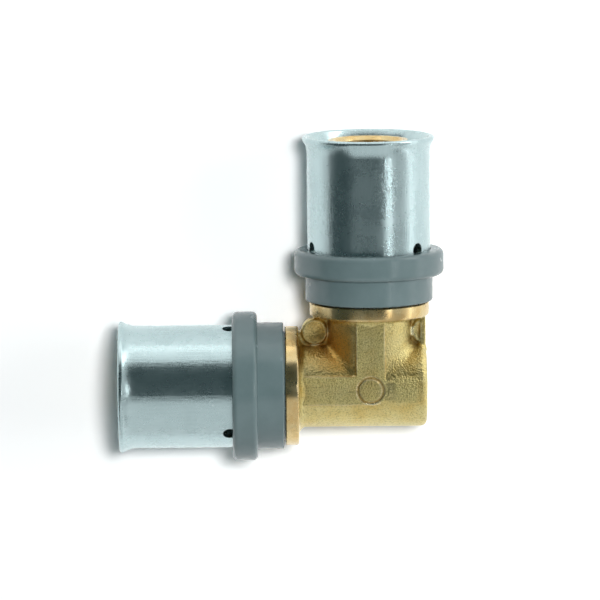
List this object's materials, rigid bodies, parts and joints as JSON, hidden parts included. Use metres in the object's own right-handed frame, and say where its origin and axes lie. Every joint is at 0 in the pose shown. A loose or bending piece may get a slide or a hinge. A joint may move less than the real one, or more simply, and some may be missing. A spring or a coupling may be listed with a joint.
{
  "type": "press elbow",
  "caption": "90 degree pipe elbow with a forged brass body and, on each port, a sealed spigot, a grey plastic ring and a steel press sleeve.",
  "frame": {"origin": "where the axes of the two ports cross", "axes": "the x port opens towards -X and the y port towards +Y; +Z is the side with the marking seat, and the elbow lies on the flanges of its two plastic rings"},
  "size_m": [0.0626, 0.0626, 0.0286],
  "materials": {
    "forged_brass": "shot-blasted forging, turned collars and spigots",
    "grey_ring": "smooth moulded, satin",
    "stainless_sleeve": "drawn and annealed, satin",
    "black_seal": "smooth, lubricated"
  },
  "bodies": {
    "root": {"elbow_body": "forged_brass", "retaining_ring_x": "grey_ring", "retaining_ring_y": "grey_ring", "press_sleeve_x": "stainless_sleeve", "press_sleeve_y": "stainless_sleeve", "outer_seal_x": "black_seal", "outer_seal_y": "black_seal", "inner_seal_x": "black_seal", "inner_seal_y": "black_seal"}
  },
  "joints": []
}
